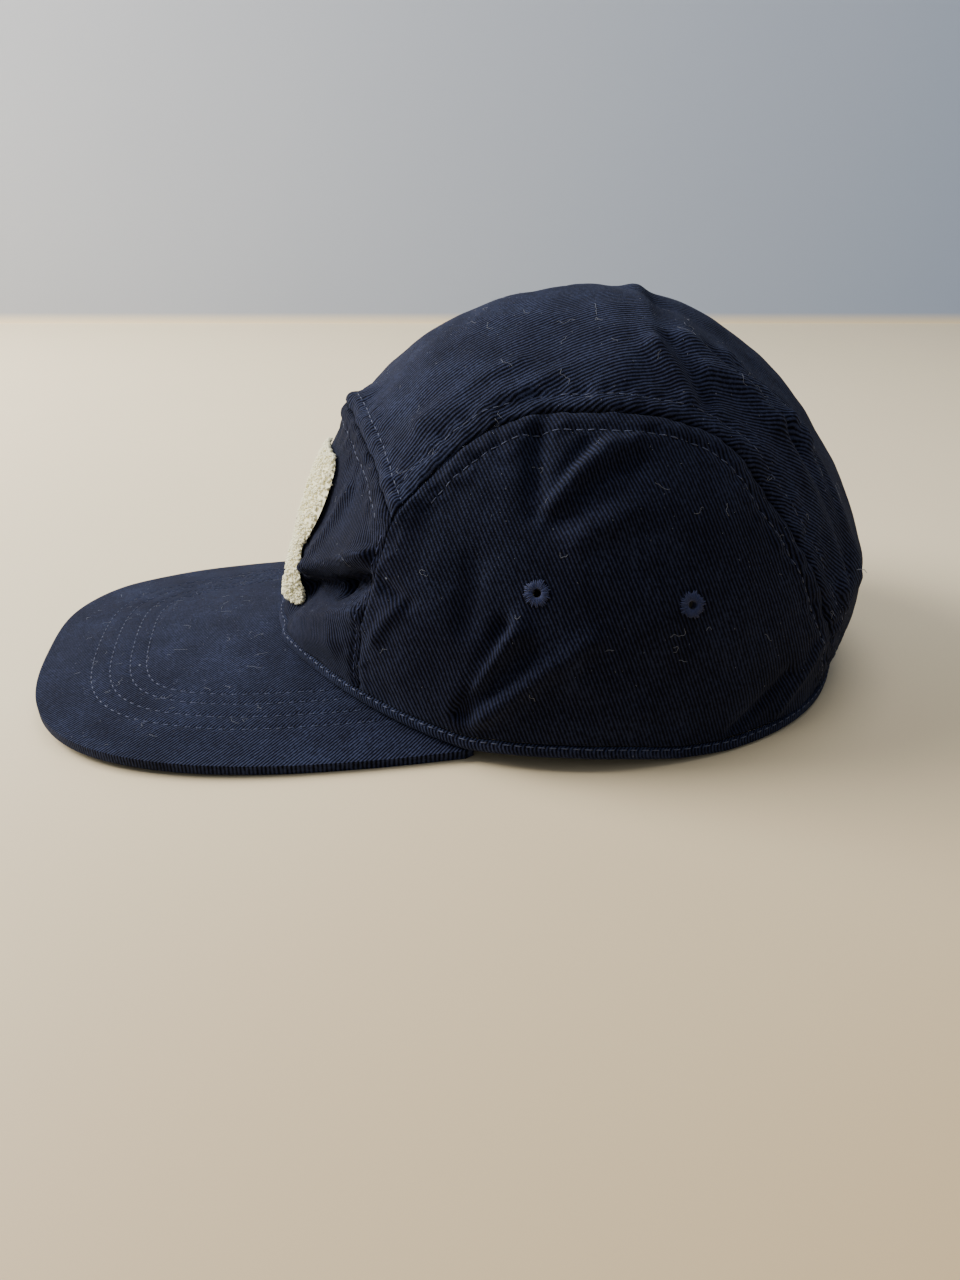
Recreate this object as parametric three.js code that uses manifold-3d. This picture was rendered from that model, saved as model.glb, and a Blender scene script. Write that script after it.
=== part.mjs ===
// Five-panel cloth cap with a nearly flat peak, lying on its lower edge.
// Millimetres, +Z up, the peak towards -Y, the wearer's left side towards +X.
import * as THREE from 'three';
import { mergeVertices } from 'three/addons/utils/BufferGeometryUtils.js';
import Module from 'manifold-3d';

// Driving sizes
const crownHeight = 118;
const crownCentreY = 44;
const clothThickness = 1.8;
const seamGap = 0.4;
const bandHeight = 4;
const bandThickness = 2.2;
const bandProud = 0.3;
const bandEndAzimuth = 159;
const tuckSpread = 14;

const peakHalfWidth = 82;
const peakEndReach = 55;
const peakTipReach = 181;
const peakSquareness = 3.1;
const peakThickness = 3;
const peakTipLift = 4.3;
const peakRootLift = 9.2;
const peakRootReach = 100;
const peakArch = 1.65;
const peakEndAzimuth = 57;

const sideFootAzimuth = { front: 34.5, rear: 138 };
const openingHalfWidth = 34;
const openingHeight = 42;

const eyeletHole = 2;
const eyeletBarrel = 3;
const eyeletFlange = 7.4;
const eyeletLip = 0.7;
const eyeletClearance = 0.4;

const strapWidth = 18;
const strapThickness = 1.6;
const strapFoot = 2.5;
const strapEndAzimuth = 149;
const slideWall = 1.6;
const slideLength = 9;
const slideClearance = 0.35;

const patchLift = 0.35;
const patchThickness = 3;
const patchRim = 1.2;

// Mesh steps
const acrossStrip = 18;
const alongArch = 34;
const upSide = 14;
const aroundBand = 66;
const aroundPeak = 34;
const outPeak = 7;
const alongStrap = 14;
const roundOpening = 16;

// Sections of the crown at every 30 degrees round from the front: how far the wall reaches out,
// how round its profile is, and how far it tucks in at the foot.
const crownSections = [
  { reach: 96, roundness: 2.2, tuck: -11 },
  { reach: 106.5, roundness: 1.95, tuck: 6.5 },
  { reach: 99, roundness: 1.9, tuck: 0.5 },
  { reach: 95.5, roundness: 2.05, tuck: 1.5 },
  { reach: 95.5, roundness: 2, tuck: 4.5 },
  { reach: 102, roundness: 1.75, tuck: 14.5 },
  { reach: 99, roundness: 2, tuck: 9 },
];
const sectionStep = 30;

// The seam between a side panel and the strip over the head, from the front corner to the rear foot.
// middle is where the strip's centre line lies abreast of it, turned up and over from the front.
const archSeam = [
  { azimuth: 38, elevation: 35, middle: 47 },
  { azimuth: 42, elevation: 44, middle: 58 },
  { azimuth: 49.5, elevation: 51.5, middle: 69 },
  { azimuth: 61, elevation: 56, middle: 79 },
  { azimuth: 75.5, elevation: 56.5, middle: 87 },
  { azimuth: 91, elevation: 55.5, middle: 95 },
  { azimuth: 102.5, elevation: 53, middle: 103 },
  { azimuth: 111, elevation: 48, middle: 112 },
  { azimuth: 117, elevation: 39, middle: 124 },
  { azimuth: 122, elevation: 29, middle: 136 },
  { azimuth: 126, elevation: 19.5, middle: 149 },
  { azimuth: 131.5, elevation: 11, middle: 161.5 },
  { azimuth: 136, elevation: 5.5, middle: 173 },
];

// How high the lower edge stands off the table beyond the peak's ends.
const edgeLift = [
  { azimuth: 57, height: 3.6 },
  { azimuth: 62, height: 4 },
  { azimuth: 72, height: 4 },
  { azimuth: 82, height: 3 },
  { azimuth: 92, height: 1 },
  { azimuth: 102, height: 0 },
];

// Folds of the limp cloth. A groove has a negative height. mirrored is the share on the far side.
const folds = [
  { name: 'front middle', from: [0, 20], to: [0, 38], height: 3, width: 22, mirrored: 0 },
  { name: 'front side', from: [24, 26], to: [22, 40], height: -3, width: 14, mirrored: 1 },
  { name: 'corner crease', from: [0, 48], to: [38, 36.5], height: 2.5, width: 7, mirrored: 1 },
  { name: 'front dent', from: [6, 13], to: [31, 22.5], height: -4.5, width: 6, mirrored: 1 },
  { name: 'front upper bulge', from: [14, 24], to: [28, 29], height: 1.6, width: 6, mirrored: 1 },
  { name: 'front lower bulge', from: [10, 8], to: [28, 13], height: 1.6, width: 5, mirrored: 1 },
  { name: 'side groove upper', from: [63, 54], to: [63, 42], height: -1.2, width: 4, mirrored: 0 },
  { name: 'side ridge upper', from: [85, 52], to: [64.5, 42], height: 1.5, width: 3.5, mirrored: 0.7 },
  { name: 'side groove middle', from: [85, 48.5], to: [68, 39.5], height: -1.3, width: 4, mirrored: 0.7 },
  { name: 'side ridge middle', from: [83, 41.5], to: [73, 37], height: 1.2, width: 4, mirrored: 0.5 },
  { name: 'side ridge lower', from: [63.5, 22.5], to: [54.5, 8], height: 2.2, width: 4, mirrored: 0.8 },
  { name: 'side groove lower', from: [65, 20], to: [56, 8.5], height: -2.4, width: 3.5, mirrored: 0.8 },
  { name: 'side ridge foot', from: [76, 22], to: [59, 9], height: 1.8, width: 4, mirrored: 0.6 },
  { name: 'side crease', from: [54.5, 32], to: [54.5, 23], height: -1.2, width: 4, mirrored: 0.5 },
  { name: 'rear dent', from: [113, 45.5], to: [115, 41], height: -1.2, width: 5, mirrored: 0.5 },
  { name: 'top ridge', from: [34, 49.5], to: [49, 58.5], height: 1, width: 4, mirrored: 0.6 },
  { name: 'top crease', from: [150, 80], to: [92, 61.5], height: -1.2, width: 6, mirrored: 0 },
  { name: 'top hollow', from: [101, 59.5], to: [117, 57.5], height: -1.4, width: 8, mirrored: 0.5 },
  { name: 'back ridge high', from: [116, 69], to: [128, 51.5], height: 1.8, width: 4, mirrored: 0.6 },
  { name: 'back ridge low', from: [128, 51.5], to: [132.5, 19], height: 2, width: 4, mirrored: 0.6 },
  { name: 'back groove high', from: [126, 66], to: [135, 48], height: -1.8, width: 3.5, mirrored: 0.6 },
  { name: 'back groove low', from: [135, 48], to: [136, 23], height: -2.2, width: 3.5, mirrored: 0.6 },
  { name: 'back rim high', from: [137, 65], to: [141, 48], height: 1.4, width: 4, mirrored: 0.6 },
  { name: 'back rim low', from: [141, 48], to: [143, 21], height: 1.4, width: 4, mirrored: 0.6 },
];

const rad = THREE.MathUtils.degToRad;
const lerp = THREE.MathUtils.lerp;

// A smooth value through evenly spaced rows, mirrored at both ends of the table.
function throughRows(rows, column, place) {
  const last = rows.length - 1;
  const at = THREE.MathUtils.clamp(place, 0, last);
  const start = Math.min(Math.floor(at), last - 1);
  const share = at - start;
  const value = (index) => rows[last - Math.abs(last - Math.abs(index))][column];
  const [a, b, c, d] = [value(start - 1), value(start), value(start + 1), value(start + 2)];
  const bend = (2 * a - 5 * b + 4 * c - d) * share + (3 * b - a - 3 * c + d) * share * share;
  return b + 0.5 * share * (c - a + bend);
}

// As throughRows, but running straight on past both ends.
function alongRows(rows, column, share) {
  const last = rows.length - 1;
  const at = share * last;
  const start = Math.min(Math.floor(at), last - 1);
  const t = at - start;
  const value = (index) => {
    if (index < 0) return 2 * rows[0][column] - rows[1][column];
    if (index > last) return 2 * rows[last][column] - rows[last - 1][column];
    return rows[index][column];
  };
  const [a, b, c, d] = [value(start - 1), value(start), value(start + 1), value(start + 2)];
  const bend = (2 * a - 5 * b + 4 * c - d) * t + (3 * b - a - 3 * c + d) * t * t;
  return b + 0.5 * t * (c - a + bend);
}

function direction(azimuth, elevation) {
  const flat = Math.cos(rad(elevation));
  return new THREE.Vector3(
    Math.sin(rad(azimuth)) * flat,
    -Math.cos(rad(azimuth)) * flat,
    Math.sin(rad(elevation)),
  );
}

function mirrored(point) {
  return new THREE.Vector3(-point.x, point.y, point.z);
}

const foldLines = folds.flatMap((fold) => {
  const from = direction(...fold.from);
  const to = direction(...fold.to);
  const near = { from, to, height: fold.height, width: fold.width / crownHeight };
  const far = { from: mirrored(from), to: mirrored(to), height: fold.height * fold.mirrored, width: near.width };
  return fold.mirrored ? [near, far] : [near];
});

function foldOffset(toward) {
  let offset = 0;
  for (const fold of foldLines) {
    const line = fold.to.clone().sub(fold.from);
    const share = toward.clone().sub(fold.from).dot(line) / line.lengthSq();
    const nearest = fold.from.clone().addScaledVector(line, THREE.MathUtils.clamp(share, 0, 1));
    offset += fold.height * Math.exp(-((nearest.distanceTo(toward) / fold.width) ** 2));
  }
  return offset;
}

// The crown's outer face as seen from the middle of its open foot.
function crownReach(toward) {
  const azimuth = Math.abs(THREE.MathUtils.radToDeg(Math.atan2(toward.x, -toward.y)));
  const elevation = THREE.MathUtils.radToDeg(Math.asin(THREE.MathUtils.clamp(toward.z, -1, 1)));
  const place = azimuth / sectionStep;
  const reach = throughRows(crownSections, 'reach', place);
  const roundness = throughRows(crownSections, 'roundness', place);
  const tuck = throughRows(crownSections, 'tuck', place);
  const flat = Math.hypot(toward.x, toward.y);
  const sum = (flat / reach) ** roundness + (Math.max(toward.z, 0) / crownHeight) ** roundness;
  const foot = tuck * Math.exp(-((elevation / tuckSpread) ** 2));
  return sum ** (-1 / roundness) - foot + foldOffset(toward);
}

function outerPoint(toward) {
  return toward.clone().multiplyScalar(crownReach(toward)).add(new THREE.Vector3(0, crownCentreY, 0));
}

const normalStep = 0.01;

function crownNormal(toward) {
  const side = new THREE.Vector3(-toward.y, toward.x, 0);
  if (side.lengthSq() < normalStep) side.set(1, 0, 0);
  side.normalize().multiplyScalar(normalStep);
  const up = toward.clone().cross(side).normalize().multiplyScalar(normalStep);
  const face = (shift) => outerPoint(toward.clone().add(shift).normalize());
  const across = face(side).sub(face(side.clone().negate()));
  const rise = face(up).sub(face(up.clone().negate()));
  const normal = across.cross(rise).normalize();
  return normal.dot(toward) < 0 ? normal.negate() : normal;
}

function crownPoint(toward, depth) {
  return outerPoint(toward).addScaledVector(crownNormal(toward), -depth);
}

const lowestView = -10;
const highestView = 60;
const halvings = 30;

// The direction in which the outer face lies at a given height above the table.
function towardHeight(azimuth, height) {
  let low = lowestView;
  let high = highestView;
  for (let step = 0; step < halvings; step += 1) {
    const middle = (low + high) / 2;
    if (outerPoint(direction(azimuth, middle)).z < height) low = middle;
    else high = middle;
  }
  return direction(azimuth, (low + high) / 2);
}

// A point of the wall at a given height, moved level inwards by depth.
function wallPoint(azimuth, height, depth) {
  const toward = towardHeight(azimuth, height);
  const inward = crownNormal(toward).setZ(0).normalize();
  return outerPoint(toward).addScaledVector(inward, -depth);
}

// The peak
function peakUnderside(x, y) {
  const reach = crownCentreY - y;
  const rise = (peakTipReach - reach) / (peakTipReach - peakRootReach);
  const middle = lerp(peakTipLift, peakRootLift, rise);
  return middle * (1 - Math.min(Math.abs(x) / peakHalfWidth, 1) ** peakArch);
}

const edgeTries = 6;

function edgeHeight(azimuth) {
  const away = Math.abs(azimuth);
  if (away >= peakEndAzimuth) {
    const above = edgeLift.findIndex((row) => row.azimuth > away);
    if (above < 0) return 0;
    const [from, to] = [edgeLift[above - 1], edgeLift[above]];
    const share = (away - from.azimuth) / (to.azimuth - from.azimuth);
    return lerp(from.height, to.height, share);
  }
  let height = peakRootLift;
  for (let step = 0; step < edgeTries; step += 1) {
    const wall = wallPoint(azimuth, height, bandThickness / 2);
    height = peakUnderside(wall.x, wall.y) + peakThickness + seamGap;
  }
  return height;
}

// Turns a grid of paired outer and inner points into a closed thin solid.
function shellGeometry(outer, inner) {
  const rows = outer.length;
  const columns = outer[0].length;
  const positions = [...outer.flat(), ...inner.flat()].flatMap((p) => [p.x, p.y, p.z]);
  const half = rows * columns;
  const at = (row, column, side) => side * half + row * columns + column;
  const index = [];
  const quad = (a, b, c, d) => index.push(a, b, c, a, c, d);
  for (let r = 0; r < rows - 1; r += 1) {
    for (let c = 0; c < columns - 1; c += 1) {
      quad(at(r, c, 0), at(r, c + 1, 0), at(r + 1, c + 1, 0), at(r + 1, c, 0));
      quad(at(r, c, 1), at(r + 1, c, 1), at(r + 1, c + 1, 1), at(r, c + 1, 1));
    }
  }
  for (let c = 0; c < columns - 1; c += 1) {
    quad(at(0, c, 1), at(0, c + 1, 1), at(0, c + 1, 0), at(0, c, 0));
    quad(at(rows - 1, c, 0), at(rows - 1, c + 1, 0), at(rows - 1, c + 1, 1), at(rows - 1, c, 1));
  }
  for (let r = 0; r < rows - 1; r += 1) {
    quad(at(r, 0, 0), at(r + 1, 0, 0), at(r + 1, 0, 1), at(r, 0, 1));
    quad(at(r, columns - 1, 1), at(r + 1, columns - 1, 1), at(r + 1, columns - 1, 0), at(r, columns - 1, 0));
  }
  const geometry = new THREE.BufferGeometry();
  geometry.setAttribute('position', new THREE.Float32BufferAttribute(positions, 3));
  geometry.setIndex(index);
  return facingOut(geometry);
}

// Flips a closed surface whose faces point inwards.
function facingOut(geometry) {
  const { array } = geometry.getAttribute('position');
  const index = geometry.getIndex().array;
  const corner = (i) => new THREE.Vector3().fromArray(array, index[i] * 3);
  let volume = 0;
  for (let i = 0; i < index.length; i += 3) {
    volume += corner(i).dot(corner(i + 1).cross(corner(i + 2)));
  }
  if (volume < 0) {
    for (let i = 0; i < index.length; i += 3) [index[i], index[i + 1]] = [index[i + 1], index[i]];
  }
  geometry.computeVertexNormals();
  return geometry;
}

function gridOf(rows, columns, pointAt) {
  return Array.from({ length: rows + 1 }, (_, r) =>
    Array.from({ length: columns + 1 }, (_, c) => pointAt(r / rows, c / columns)));
}

// Draws each panel's edge back from the seam line, so that neighbours stay clear of each other.
function drawnBack(grid) {
  const rows = grid.length - 1;
  const columns = grid[0].length - 1;
  const draw = (edge, next) => {
    const share = seamGap / 2 / (edge.distanceTo(next) * crownHeight);
    return edge.clone().lerp(next, share).normalize();
  };
  const across = grid.map((row) => row.map((toward, c) => {
    if (c === 0) return draw(toward, row[1]);
    if (c === columns) return draw(toward, row[columns - 1]);
    return toward;
  }));
  return across.map((row, r) => row.map((toward, c) => {
    if (r === 0) return draw(toward, across[1][c]);
    if (r === rows) return draw(toward, across[rows - 1][c]);
    return toward;
  }));
}

// Edges below this height are cut level, above the band.
const footZone = 25;

function panelGeometry(grid, lift = 0, depth = clothThickness) {
  const drawn = drawnBack(grid);
  const layer = (inward) => drawn.map((row) => row.map((toward) => crownPoint(toward, inward)));
  const outer = layer(-lift);
  const inner = layer(depth);
  for (const row of [0, grid.length - 1]) {
    outer[row].forEach((point, c) => {
      if (point.z < footZone) inner[row][c].setZ(point.z);
    });
  }
  return shellGeometry(outer, inner);
}

function archToward(share) {
  return direction(alongRows(archSeam, 'azimuth', share), alongRows(archSeam, 'elevation', share));
}

function footToward(azimuth) {
  return towardHeight(azimuth, edgeHeight(azimuth) + bandHeight + seamGap / 2);
}

// A line over the strip from its left seam, through its centre line, to its right seam.
function stripToward(share, across) {
  const left = archToward(share);
  const middle = direction(0, alongRows(archSeam, 'middle', share));
  const pull = middle.multiplyScalar(2).sub(new THREE.Vector3(0, left.y, left.z));
  const toward = left.clone().multiplyScalar((1 - across) ** 2);
  toward.addScaledVector(pull, 2 * across * (1 - across));
  toward.addScaledVector(mirrored(left), across ** 2);
  return toward.normalize();
}

function frontToward(up, across) {
  const foot = footToward(lerp(sideFootAzimuth.front, -sideFootAzimuth.front, across));
  return foot.lerp(stripToward(0, across), up).normalize();
}

function sideToward(up, along) {
  const foot = footToward(lerp(sideFootAzimuth.front, sideFootAzimuth.rear, along));
  return foot.lerp(archToward(along), up).normalize();
}

// Solid joins and cuts
const wasm = await Module();
wasm.setup();

function toSolid(geometry) {
  const bare = new THREE.BufferGeometry();
  bare.setAttribute('position', geometry.getAttribute('position').clone());
  if (geometry.getIndex()) bare.setIndex(geometry.getIndex().clone());
  const merged = mergeVertices(bare, 1e-4);
  return new wasm.Manifold(new wasm.Mesh({
    numProp: 3,
    vertProperties: new Float32Array(merged.getAttribute('position').array),
    triVerts: new Uint32Array(merged.getIndex().array),
  }));
}

function fromSolid(solid) {
  const mesh = solid.getMesh();
  const geometry = new THREE.BufferGeometry();
  geometry.setAttribute('position', new THREE.Float32BufferAttribute(mesh.vertProperties, 3));
  geometry.setIndex(Array.from(mesh.triVerts));
  geometry.computeVertexNormals();
  return geometry;
}

function cut(geometry, cutters) {
  const solid = cutters.reduce((rest, cutter) => rest.subtract(toSolid(cutter)), toSolid(geometry));
  return fromSolid(solid);
}

// Materials
const cloth = { color: 0x1b2138, roughness: 0.92, metalness: 0 };
const thread = { color: 0x2a3560, roughness: 0.85, metalness: 0 };
const chenille = { color: 0xdcdcc4, roughness: 1, metalness: 0 };
const metal = { color: 0x3a3d44, roughness: 0.4, metalness: 0.9 };

const cap = new THREE.Group();

function addPiece(name, geometry, finish) {
  const piece = new THREE.Mesh(geometry, new THREE.MeshStandardMaterial(finish));
  piece.name = name;
  cap.add(piece);
}

// Front panel
const frontGrid = gridOf(upSide, acrossStrip, frontToward);
addPiece('front_panel', panelGeometry(frontGrid), cloth);

// Top panel, with the arched opening at the back
function openingCutter() {
  const outline = new THREE.Shape();
  outline.moveTo(-openingHalfWidth, -bandHeight);
  outline.lineTo(openingHalfWidth, -bandHeight);
  outline.absellipse(0, 0, openingHalfWidth, openingHeight, 0, Math.PI, false);
  const depth = crownHeight;
  const geometry = new THREE.ExtrudeGeometry(outline, { depth, bevelEnabled: false, curveSegments: roundOpening });
  geometry.rotateX(Math.PI / 2);
  geometry.translate(0, crownCentreY + depth, 0);
  return geometry;
}

function topToward(along, across) {
  const row = along * (alongArch + 1);
  if (row < alongArch + 0.5) return stripToward(row / alongArch, across);
  return footToward(lerp(sideFootAzimuth.rear, 360 - sideFootAzimuth.rear, across));
}

const topGrid = gridOf(alongArch + 1, acrossStrip, topToward);
addPiece('top_panel', cut(panelGeometry(topGrid), [openingCutter()]), cloth);

// Side panels with their stitched eyelets
const eyelets = [
  { name: 'front', azimuth: 66.2, elevation: 29 },
  { name: 'rear', azimuth: 93.3, elevation: 27.2 },
];
const eyeletSides = 12;

function standOn(geometry, toward) {
  const turn = new THREE.Quaternion().setFromUnitVectors(new THREE.Vector3(0, 1, 0), crownNormal(toward));
  geometry.applyQuaternion(turn);
  const foot = outerPoint(toward);
  return geometry.translate(foot.x, foot.y, foot.z);
}

function eyeletGeometry(toward) {
  const inner = -clothThickness - eyeletClearance;
  const profile = [
    [eyeletHole / 2, inner - eyeletLip],
    [eyeletFlange / 2, inner - eyeletLip],
    [eyeletFlange / 2, inner],
    [eyeletBarrel / 2, inner],
    [eyeletBarrel / 2, eyeletClearance],
    [eyeletFlange / 2, eyeletClearance],
    [eyeletFlange / 2 - eyeletLip, eyeletClearance + eyeletLip],
    [eyeletHole / 2, eyeletClearance + eyeletLip],
    [eyeletHole / 2, inner - eyeletLip],
  ];
  const points = profile.map(([radius, height]) => new THREE.Vector2(radius, height));
  return standOn(new THREE.LatheGeometry(points, eyeletSides), toward);
}

function eyeletCutter(toward) {
  const radius = eyeletBarrel / 2 + eyeletClearance;
  const depth = clothThickness * 4;
  return standOn(new THREE.CylinderGeometry(radius, radius, depth, eyeletSides), toward);
}

for (const side of [{ name: 'left', sign: 1 }, { name: 'right', sign: -1 }]) {
  const placed = (toward) => (side.sign > 0 ? toward : mirrored(toward));
  const places = eyelets.map((eyelet) => placed(direction(eyelet.azimuth, eyelet.elevation)));
  const grid = gridOf(upSide, alongArch, (up, along) => placed(sideToward(up, along)));
  const cutters = places.map(eyeletCutter);
  addPiece(`side_panel_${side.name}`, cut(panelGeometry(grid), cutters), cloth);
  eyelets.forEach((eyelet, i) => {
    addPiece(`eyelet_${side.name}_${eyelet.name}`, eyeletGeometry(places[i]), thread);
  });
}

// The stitched band round the lower edge, open at the back
function bandLayer(depth) {
  return gridOf(1, aroundBand, (up, around) => {
    const azimuth = lerp(-bandEndAzimuth, bandEndAzimuth, around);
    return wallPoint(azimuth, edgeHeight(azimuth) + up * bandHeight, depth);
  });
}

addPiece('edge_band', shellGeometry(bandLayer(-bandProud), bandLayer(bandThickness - bandProud)), cloth);

// Peak
function peakPlan(share, around) {
  const azimuth = lerp(-peakEndAzimuth, peakEndAzimuth, around);
  const root = wallPoint(azimuth, edgeHeight(azimuth), bandThickness);
  const turn = Math.PI * around;
  const power = 2 / peakSquareness;
  const rimX = -peakHalfWidth * Math.sign(Math.cos(turn)) * Math.abs(Math.cos(turn)) ** power;
  const rimReach = lerp(peakEndReach, peakTipReach, Math.sin(turn) ** power);
  return new THREE.Vector2(lerp(root.x, rimX, share), lerp(root.y, crownCentreY - rimReach, share));
}

function peakLayer(lift) {
  return gridOf(outPeak, aroundPeak, (share, around) => {
    const plan = peakPlan(share, around);
    return new THREE.Vector3(plan.x, plan.y, peakUnderside(plan.x, plan.y) + lift);
  });
}

addPiece('peak', shellGeometry(peakLayer(peakThickness), peakLayer(0)), cloth);

// Raised cream patch on the front, a plain waisted shape
const patchSections = [
  { elevation: 11.5, halfAngle: 4 },
  { elevation: 13, halfAngle: 6.5 },
  { elevation: 16.5, halfAngle: 8.5 },
  { elevation: 20, halfAngle: 8.5 },
  { elevation: 23, halfAngle: 6.5 },
  { elevation: 26.5, halfAngle: 9.5 },
  { elevation: 31, halfAngle: 12 },
  { elevation: 35.5, halfAngle: 11.5 },
  { elevation: 38.5, halfAngle: 9 },
  { elevation: 40, halfAngle: 5 },
];
const patchColumns = 8;
const patchRows = 14;
const patchSquareness = 4;

function patchToward(up, across) {
  const elevation = alongRows(patchSections, 'elevation', up);
  const halfAngle = alongRows(patchSections, 'halfAngle', up);
  return direction(lerp(halfAngle, -halfAngle, across), elevation);
}

function patchLayer(rim, middle) {
  return gridOf(patchRows, patchColumns, (up, across) => {
    const tall = 1 - Math.abs(2 * up - 1) ** patchSquareness;
    const fullness = tall * (1 - Math.abs(2 * across - 1) ** patchSquareness);
    return crownPoint(patchToward(up, across), -lerp(rim, middle, fullness));
  });
}

// Its back follows the panel, patchLift clear of it.
const patchFace = patchLayer(patchLift + patchRim, patchLift + patchThickness);
const patchBlock = shellGeometry(patchFace, patchLayer(-clothThickness, -clothThickness));
const patchSeat = panelGeometry(frontGrid, patchLift, clothThickness * 4);
addPiece('patch', cut(patchBlock, [patchSeat]), chenille);

// Strap across the back opening, and the plain slide on it
const strapDepth = bandThickness - bandProud + seamGap;

function strapLayer(depth) {
  return gridOf(1, alongStrap, (up, around) => {
    const azimuth = lerp(strapEndAzimuth, 360 - strapEndAzimuth, around);
    const foot = wallPoint(azimuth, strapFoot, strapDepth + depth);
    return foot.setZ(strapFoot + up * strapWidth);
  });
}

addPiece('back_strap', shellGeometry(strapLayer(0), strapLayer(strapThickness)), cloth);

function slideGeometry() {
  const inner = { width: strapThickness + 2 * slideClearance, height: strapWidth + 2 * slideClearance };
  const outer = { width: inner.width + 2 * slideWall, height: inner.height + 2 * slideWall };
  const box = new THREE.BoxGeometry(slideLength, outer.width, outer.height);
  const hole = new THREE.BoxGeometry(slideLength * 2, inner.width, inner.height);
  const centre = wallPoint(180, strapFoot, strapDepth + strapThickness / 2);
  return cut(box, [hole]).translate(0, centre.y, strapFoot + strapWidth / 2);
}

addPiece('strap_slide', slideGeometry(), metal);

export default cap;
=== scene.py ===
import math
import random

import bmesh
import bpy
import numpy as np
from mathutils import Matrix, Vector, kdtree, noise


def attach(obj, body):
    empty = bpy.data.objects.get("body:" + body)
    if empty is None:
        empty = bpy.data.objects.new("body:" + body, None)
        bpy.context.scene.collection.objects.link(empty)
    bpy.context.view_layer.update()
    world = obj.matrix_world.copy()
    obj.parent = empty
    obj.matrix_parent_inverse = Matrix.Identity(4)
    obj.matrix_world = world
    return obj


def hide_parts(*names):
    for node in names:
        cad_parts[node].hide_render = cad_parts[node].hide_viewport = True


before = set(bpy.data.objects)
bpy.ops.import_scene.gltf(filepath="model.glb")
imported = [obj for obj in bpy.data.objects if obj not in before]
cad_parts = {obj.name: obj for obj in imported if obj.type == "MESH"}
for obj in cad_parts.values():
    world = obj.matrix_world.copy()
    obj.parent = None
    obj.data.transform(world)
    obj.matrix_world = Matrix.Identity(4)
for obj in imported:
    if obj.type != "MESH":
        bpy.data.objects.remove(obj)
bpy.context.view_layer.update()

scene = bpy.context.scene
mm = 0.001
perMetre = 1000.0

# Camera, at the photograph's height and angle
photoView = {
    "lens": 27.08, "sensor": 36, "nearest": 0.01,
    "place": (0.30928, -0.05039, 0.1461), "azimuth": 79.23, "pitch": 25.21,
}


def makeCamera():
    camera = bpy.data.objects.new("photoCamera", bpy.data.cameras.new("photoCamera"))
    camera.data.sensor_width = photoView["sensor"]
    camera.data.lens = photoView["lens"]
    camera.data.clip_start = photoView["nearest"]
    turn, drop = math.radians(photoView["azimuth"]), math.radians(photoView["pitch"])
    ahead = Vector((-math.sin(turn) * math.cos(drop), math.cos(turn) * math.cos(drop), -math.sin(drop)))
    camera.location = photoView["place"]
    camera.rotation_euler = ahead.to_track_quat("-Z", "Y").to_euler()
    scene.collection.objects.link(camera)
    scene.camera = camera


makeCamera()
print("camera made")


# Shader sockets that take part in sums
class Wire:
    def __init__(self, tree, socket):
        self.tree = tree
        self.socket = socket

    def math(self, operation, *others):
        node = self.tree.nodes.new("ShaderNodeMath")
        node.operation = operation
        for place, value in enumerate((self, *others)):
            plug(self.tree, node.inputs[place], value)
        return Wire(self.tree, node.outputs[0])

    def __add__(self, other):
        return self.math("ADD", other)

    def __sub__(self, other):
        return self.math("SUBTRACT", other)

    def __mul__(self, other):
        return self.math("MULTIPLY", other)

    def __truediv__(self, other):
        return self.math("DIVIDE", other)

    def __rsub__(self, other):
        return (self * -1.0).math("ADD", other)

    __radd__ = __add__
    __rmul__ = __mul__

    def between(self, low, high):
        return ((self - low) / (high - low)).math("MINIMUM", 1.0).math("MAXIMUM", 0.0)


def plug(tree, target, value):
    if isinstance(value, Wire):
        tree.links.new(value.socket, target)
    else:
        target.default_value = value


class Finish:
    def __init__(self, name):
        self.material = bpy.data.materials.new(name)
        self.material.use_nodes = True
        self.tree = self.material.node_tree
        self.shader = self.tree.nodes["Principled BSDF"]

    def node(self, kind, settings, sockets, output=0):
        made = self.tree.nodes.new(kind)
        for key, value in settings.items():
            setattr(made, key, value)
        for key, value in sockets.items():
            plug(self.tree, made.inputs[key], value)
        return Wire(self.tree, made.outputs[output])

    # The place on the piece, in metres
    def place(self):
        return self.node("ShaderNodeTexCoord", {}, {}, 3)

    def bump(self, strength, depth, height):
        return self.node("ShaderNodeBump", {}, {"Strength": strength, "Distance": depth, "Height": height})

    def parts(self, vector):
        split = self.tree.nodes.new("ShaderNodeSeparateXYZ")
        plug(self.tree, split.inputs[0], vector)
        return [Wire(self.tree, socket) for socket in split.outputs]

    def blend(self, mask, first, second):
        return self.node("ShaderNodeMix", {"data_type": "RGBA"}, {0: mask, 6: first, 7: second}, 2)

    def cloudy(self, vector, scale, detail=3.0, roughness=0.55):
        return self.node("ShaderNodeTexNoise", {}, {"Vector": vector, "Scale": scale, "Detail": detail,
                                                    "Roughness": roughness})

    def surface(self, **values):
        for key, value in values.items():
            plug(self.tree, self.shader.inputs[key.replace("_", " ")], value)
        return self.material


# A linear colour from the six digits of a screen colour
def shade(hexColour):
    parts = [int(hexColour[i:i + 2], 16) / 255 for i in (0, 2, 4)]
    return [*(part / 12.92 if part <= 0.04045 else ((part + 0.055) / 1.055) ** 2.4 for part in parts), 1.0]


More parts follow.
